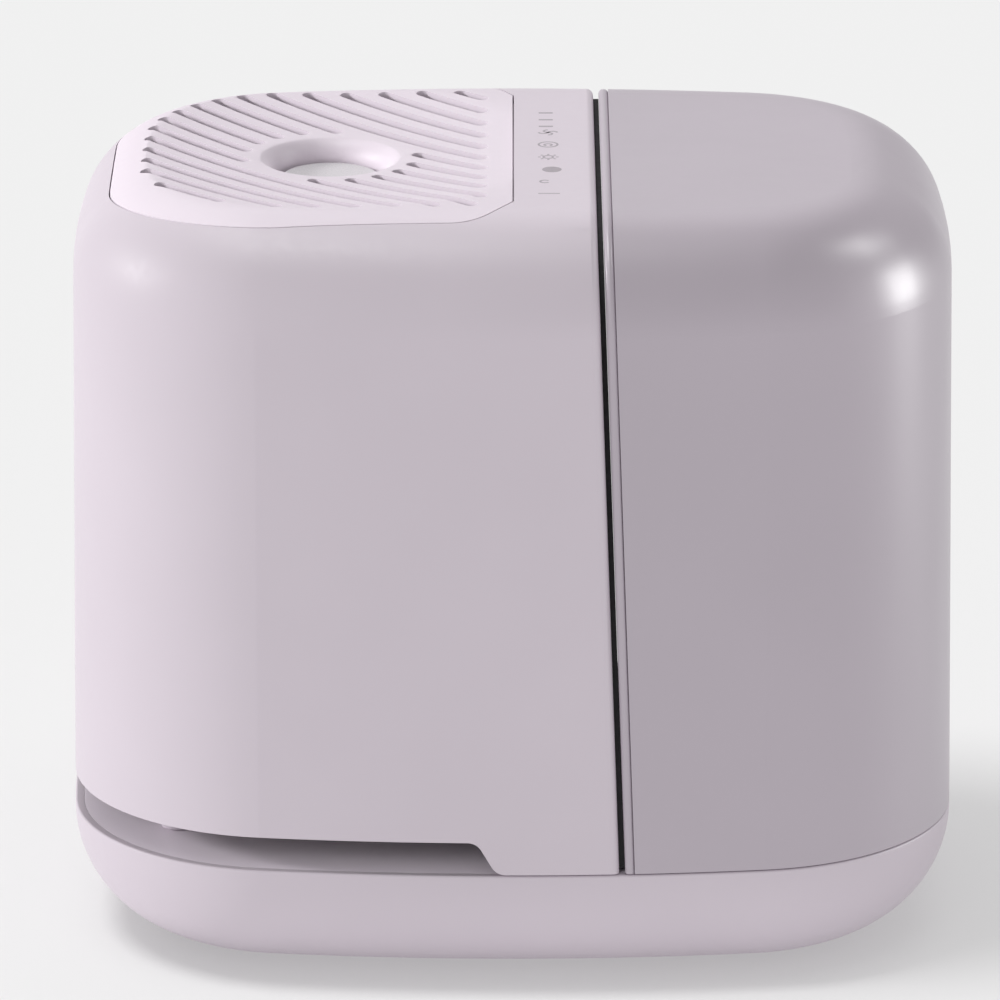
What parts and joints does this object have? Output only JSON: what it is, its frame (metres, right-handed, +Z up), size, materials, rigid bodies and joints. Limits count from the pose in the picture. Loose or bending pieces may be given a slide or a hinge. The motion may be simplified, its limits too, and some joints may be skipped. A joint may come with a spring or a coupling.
{
  "type": "cool mist humidifier",
  "caption": "Rounded evaporative humidifier: base with water tray, lift-off fan housing with slotted top grille and scent well, and lift-off side water tank with a push valve.",
  "frame": {"origin": "on the floor, at the centre of the base's plan", "axes": "+X to the tank side, +Y to the back where the power inlet is, +Z up"},
  "size_m": [0.312, 0.2246, 0.275],
  "materials": {
    "housing_plastic": "fine satin moulded",
    "base_plastic": "fine satin moulded",
    "tray_plastic": "smooth moulded",
    "tank_plastic": "tinted, glossy",
    "tank_plate": "tinted, glossy",
    "foot_rubber": "soft matte",
    "seal_rubber": "silicone",
    "screw_steel": "zinc plated",
    "magnet": "sintered",
    "float_plastic": "foamed",
    "wick_paper": "pleated wicking paper",
    "filter_frame": "moulded",
    "scent_puck": "felted",
    "inner_plastic": "moulded",
    "fan_plastic": "moulded, glass filled",
    "motor_steel": "plated",
    "bush_bronze": "sintered bronze",
    "circuit_board": "solder mask",
    "touch_film": "copper pads on film",
    "light_guide": "clear moulded",
    "capacitor_sleeve": "sleeved can",
    "socket_plastic": "nylon",
    "black_plastic": "moulded",
    "cap_plastic": "moulded",
    "plunger_plastic": "acetal"
  },
  "bodies": {
    "base": {"base_tub": "base_plastic", "foot_front_left": "foot_rubber", "foot_front_right": "foot_rubber", "foot_back_left": "foot_rubber", "foot_back_right": "foot_rubber", "water_tray": "tray_plastic", "tray_screws": "screw_steel", "float_cover": "tray_plastic", "filter_wick": "wick_paper", "filter_foot_ring": "filter_frame", "filter_top_ring": "filter_frame"},
    "float": {"float": "float_plastic", "float_magnet": "magnet"},
    "housing": {"housing_shell": "housing_plastic", "grille_panel": "housing_plastic", "fan_deck": "inner_plastic", "deck_screws": "screw_steel", "fan_guard": "inner_plastic", "fan_shroud": "inner_plastic", "shroud_screws": "screw_steel", "fan_motor": "motor_steel", "motor_bush": "bush_bronze", "control_board": "circuit_board", "board_screws": "screw_steel", "light_guide": "light_guide", "touch_film": "touch_film", "power_board": "circuit_board", "power_board_screws": "screw_steel", "capacitors": "capacitor_sleeve", "board_sockets": "socket_plastic", "dc_socket": "black_plastic", "inlet_bezel": "black_plastic", "level_sensor": "circuit_board"},
    "impeller": {"impeller": "fan_plastic", "fan_shaft": "screw_steel", "rotor_magnet": "magnet"},
    "puck": {"aroma_puck": "scent_puck"},
    "tank": {"tank_shell": "tank_plastic", "tank_side_plate": "tank_plate"},
    "cap": {"valve_cap": "cap_plastic", "cap_gasket": "seal_rubber", "valve_spring": "screw_steel"},
    "plunger": {"valve_plunger": "plunger_plastic", "valve_seal": "seal_rubber"}
  },
  "joints": [
    {"name": "housing_lift", "type": "slide", "parent": "base", "child": "housing", "axis": [0, 0, 1], "range_m": [0, 0.12]},
    {"name": "tank_lift", "type": "slide", "parent": "housing", "child": "tank", "axis": [0, 0, 1], "range_m": [0, 0.12]},
    {"name": "cap_turn", "type": "hinge", "parent": "tank", "child": "cap", "pos_m": [0.094, 0, 0.035], "axis": [0, 0, 1], "range_deg": [0, 60]},
    {"name": "valve_travel", "type": "slide", "parent": "cap", "child": "plunger", "axis": [0, 0, 1], "range_m": [-0.0037, 0], "deforming": ["valve_spring"]},
    {"name": "float_rise", "type": "slide", "parent": "base", "child": "float", "axis": [0, 0, 1], "range_m": [0, 0.015]},
    {"name": "fan_spin", "type": "hinge", "parent": "housing", "child": "impeller", "pos_m": [-0.064, 0.006, 0.21], "axis": [0, 0, 1], "continuous": true},
    {"name": "puck_lift", "type": "slide", "parent": "housing", "child": "puck", "axis": [0, 0, 1], "range_m": [0, 0.035]}
  ],
  "couplings": [
    {"joint": "valve_travel", "follows": "tank_lift", "ratio": -0.03}
  ]
}
